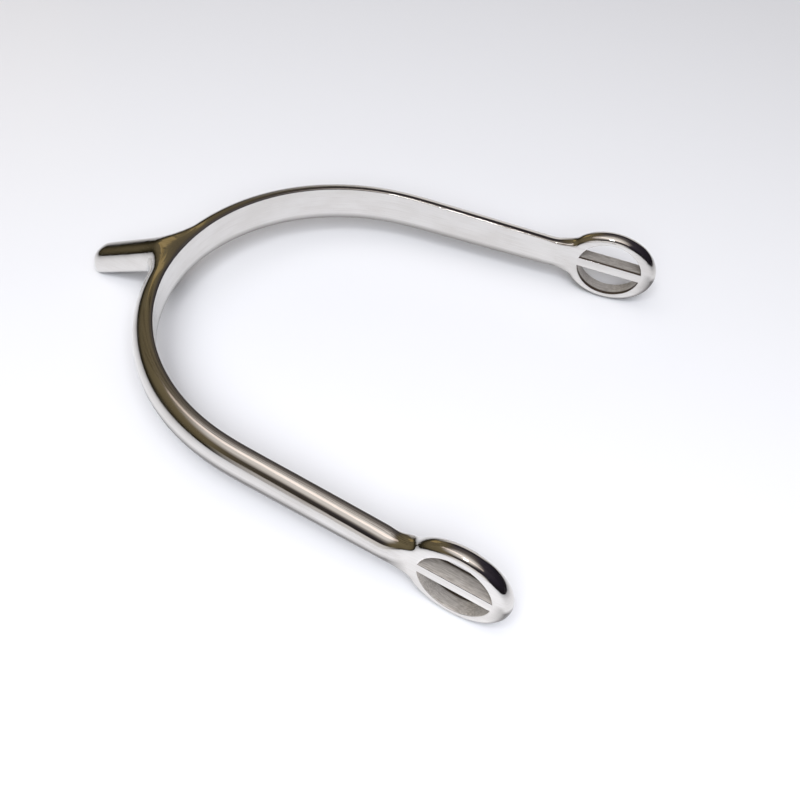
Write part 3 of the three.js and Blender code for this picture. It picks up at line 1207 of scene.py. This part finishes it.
@dataclass
class Studio:
    """The table, the room around it, the lights and the camera."""

    table_half: float = 900.0
    azimuth: float = math.radians(17.21)
    elevation: float = math.radians(48.41)
    roll: float = math.radians(8.975)
    distance: float = 209.57
    target: tuple[float, float, float] = (57.47, -14.20, 0.0)
    lens: float = 47.87
    sensor: float = 36.0
    clip_start: float = 10.0
    shift_up: float = 0.0025
    near_walls: tuple[tuple[float, str], ...] = (
        (0.0, "#E8E5E4"), (0.31, "#DAD5D3"), (0.35, "#1F1B1C"), (0.66, "#383437"), (0.87, "#6A6461"),
        (1.0, "#7C7672"),
    )
    left_walls: tuple[tuple[float, str], ...] = (
        (0.0, "#17140F"), (0.12, "#302B1E"), (0.35, "#665C46"), (0.7, "#73684F"), (1.0, "#655C4A"),
    )
    left_span: tuple[float, float] = (-0.25, -0.65)
    right_walls: tuple[tuple[float, str], ...] = (
        (0.0, "#1C191C"), (0.5, "#2B2730"), (0.85, "#3D3840"), (1.0, "#5C5456"),
    )
    right_span: tuple[float, float] = (0.12, 0.42)
    battens: tuple[float, ...] = (0.1, 0.22, 0.36, 0.52)  # dark battens across the far half of the ceiling
    batten_half: float = 0.028
    batten_rise: tuple[float, float] = (0.35, 0.55)  # heights over which they come in
    batten_shade: str = "#77716D"
    ceiling: tuple[tuple[float, str], ...] = ((0.0, "#6C6662"), (0.4, "#B2AAA3"), (1.0, "#E6E0DB"))
    ceiling_towards: tuple[float, float, float] = (-0.12, -0.2, 0.97)
    ceiling_span: tuple[float, float] = (0.74, 0.98)
    lights: tuple[Softbox, ...] = (
        Softbox("window", (-60.0, -150.0, 640.0), (1000.0, 120.0), 0.2, "#FFECE2"),
        Softbox("spot", (20.0, -230.0, 420.0), (62.0, 46.0), 0.18, "#FFFFFF"),
        Softbox("lamp", (-520.0, 420.0, 330.0), (190.0, 190.0), 0.032, "#DDBC78"),
        Softbox("key", (170.0, -430.0, 540.0), (480.0, 480.0), 5.2, "#F6F8FF", in_reflections=False),
        Softbox("table_fill", (40.0, -200.0, 700.0), (1300.0, 1300.0), 2.4, "#EDF2FF", in_reflections=False),
    )

    def lay_table(self) -> Object:
        """Lays the table top that the spur rests on.

        Returns:
            The table top.
        """
        bpy.ops.mesh.primitive_plane_add(size=2 * self.table_half * MM)
        table = bpy.context.object
        table.name = "table_top"
        table.data.materials.append(WhiteLaminate().material())
        return table

    def paint_room(self) -> None:
        """Paints the room that the steel reflects: its walls, a lit ceiling and battens across it."""
        world = bpy.data.worlds.new("room")
        bpy.context.scene.world = world
        world.use_nodes = True
        tree = world.node_tree
        tree.nodes.clear()
        place = add_node(tree, "ShaderNodeTexCoord")
        parts = add_node(tree, "ShaderNodeSeparateXYZ", Vector=place.outputs["Generated"])
        walls = self.paint_walls(tree, parts)
        ceiling = self.light_ceiling(tree, place, walls)
        room = self.hang_battens(tree, parts, ceiling)
        glow = add_node(tree, "ShaderNodeBackground", Color=room, Strength=1.0)
        add_node(tree, "ShaderNodeOutputWorld", Surface=glow.outputs["Background"])

    def paint_walls(self, tree: NodeTree, parts: Node) -> NodeSocket:
        """Paints the near, left and right walls, each by its height, and blends them by their direction.

        Args:
            tree: The room's node tree.
            parts: The node that splits the direction into X, Y and Z.

        Returns:
            The walls' colour.
        """
        walls = coloured(tree, parts.outputs["Z"], self.near_walls)
        for wall, (start, end) in ((self.left_walls, self.left_span), (self.right_walls, self.right_span)):
            turned = ranged(tree, parts.outputs["X"], "SMOOTHSTEP", From_Min=start, From_Max=end)
            walls = mixed(tree, turned, walls, coloured(tree, parts.outputs["Z"], wall))
        return walls

    def light_ceiling(self, tree: NodeTree, place: Node, walls: NodeSocket) -> NodeSocket:
        """Lights a pale round patch of the ceiling.

        Args:
            tree: The room's node tree.
            place: The node that gives the direction.
            walls: The walls' colour.

        Returns:
            The colour of the walls and the ceiling.
        """
        towards = add_node(
            tree, "ShaderNodeVectorMath", {"operation": "DOT_PRODUCT"},
            {0: place.outputs["Generated"], 1: Vector(self.ceiling_towards).normalized()},
        )
        start, end = self.ceiling_span
        near = ranged(tree, towards.outputs["Value"], "SMOOTHSTEP", From_Min=start, From_Max=end)
        return mixed(tree, near, walls, coloured(tree, near, self.ceiling))

    def hang_battens(self, tree: NodeTree, parts: Node, ceiling: NodeSocket) -> NodeSocket:
        """Hangs dark battens across the far half of the ceiling, which draw fine lines in the steel.

        Args:
            tree: The room's node tree.
            parts: The node that splits the direction into X, Y and Z.
            ceiling: The colour of the walls and the ceiling.

        Returns:
            The colour with the battens in front of it.
        """
        bare = "#FFFFFF"
        stops = [(0.0, bare)]
        for middle in self.battens:
            start, end = middle - self.batten_half, middle + self.batten_half
            stops += [(start, bare), (middle, self.batten_shade), (end, bare)]
        low, high = self.batten_rise
        overhead = ranged(tree, parts.outputs["Z"], From_Min=low, From_Max=high)
        return mixed(tree, overhead, ceiling, coloured(tree, parts.outputs["Y"], stops), "MULTIPLY")

    def set_camera(self, rest: Matrix) -> Object:
        """Sets the camera up, in the band's level frame.

        Args:
            rest: The matrix from the band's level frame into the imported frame.

        Returns:
            The camera.
        """
        az, el, roll = self.azimuth, self.elevation, self.roll
        flat_right = Vector((math.cos(az), math.sin(az), 0.0))
        flat_up = Vector((-math.sin(az) * math.sin(el), math.cos(az) * math.sin(el), math.cos(el)))
        back = Vector((math.sin(az) * math.cos(el), -math.cos(az) * math.cos(el), math.sin(el)))
        right = math.cos(roll) * flat_right + math.sin(roll) * flat_up
        up = math.cos(roll) * flat_up - math.sin(roll) * flat_right
        pose = Matrix((right, up, back)).transposed().to_4x4()
        pose.translation = (Vector(self.target) + self.distance * back) * MM
        data = bpy.data.cameras.new("camera")
        data.sensor_width = self.sensor
        data.lens = self.lens
        data.shift_y = self.shift_up
        data.clip_start = self.clip_start * MM
        camera = bpy.data.objects.new("camera", data)
        bpy.context.collection.objects.link(camera)
        camera.matrix_world = rest @ pose
        bpy.context.scene.camera = camera
        return camera

    def set_up(self, rest: Matrix) -> None:
        """Sets the whole studio up.

        Args:
            rest: The matrix from the band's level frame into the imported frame.
        """
        self.lay_table()
        self.paint_room()
        for light in self.lights:
            light.switch_on()
        self.set_camera(rest)
        bpy.context.scene.view_settings.view_transform = "Standard"


@dataclass(frozen=True)
class Piece:
    """One finished piece of the spur."""

    name: str
    zones: frozenset[Zone]
    side: Side | None = None


PIECES = (
    Piece("heel_band", frozenset({Zone.BAND})),
    Piece("neck", frozenset({Zone.NECK})),
    Piece("left_strap_eye", frozenset({Zone.EYE, Zone.SLOT_WALL}), Side.LEFT),
    Piece("right_strap_eye", frozenset({Zone.EYE, Zone.SLOT_WALL}), Side.RIGHT),
)


def dress(
    piece: Object, node: str, finish: Material,
    inside: Material | None, is_inside: Callable[[MeshPolygon], bool],
) -> None:
    """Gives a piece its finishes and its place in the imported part.

    Args:
        piece: The piece.
        node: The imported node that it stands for.
        finish: Its main material.
        inside: The material of its faces inside a slot, or None if it has none.
        is_inside: Says whether a face is inside a slot.
    """
    inner = [is_inside(face) for face in piece.data.polygons]
    piece.data.materials.clear()
    piece.data.materials.append(finish)
    if inside is not None:
        piece.data.materials.append(inside)
        for face, within in zip(piece.data.polygons, inner):
            face.material_index = 1 if within else 0
    piece.name = f"{node}_finished"
    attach(piece, "root")
    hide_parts(node)
    log.info("%s: %d faces", node, len(piece.data.polygons))


def main() -> None:
    """Builds the spur and the studio round it."""
    logging.basicConfig(level=logging.INFO, format="%(message)s")
    mirror, satin = MirrorPolishedStainless().material(), SatinStainless().material()
    spur = Spur()
    skin = spur.forge()
    for plan in PIECES:
        piece = spur.part(skin, plan.name, plan.zones, plan.side)
        inside = satin if Zone.SLOT_WALL in plan.zones else None
        dress(
            piece, plan.name, mirror, inside,
            lambda face: face.material_index == Zone.SLOT_WALL,
        )
    bpy.data.objects.remove(skin)
    Zone.clean_off()
    rest = spur.rest_matrix()
    for side in Side:
        dress(
            spur.eye.forge_bar(side, rest), f"{side.name.lower()}_strap_bar", mirror, satin,
            lambda face: abs(face.normal.y) < 0.5,
        )
    Studio().set_up(rest)


if __name__ == "__main__":
    main()
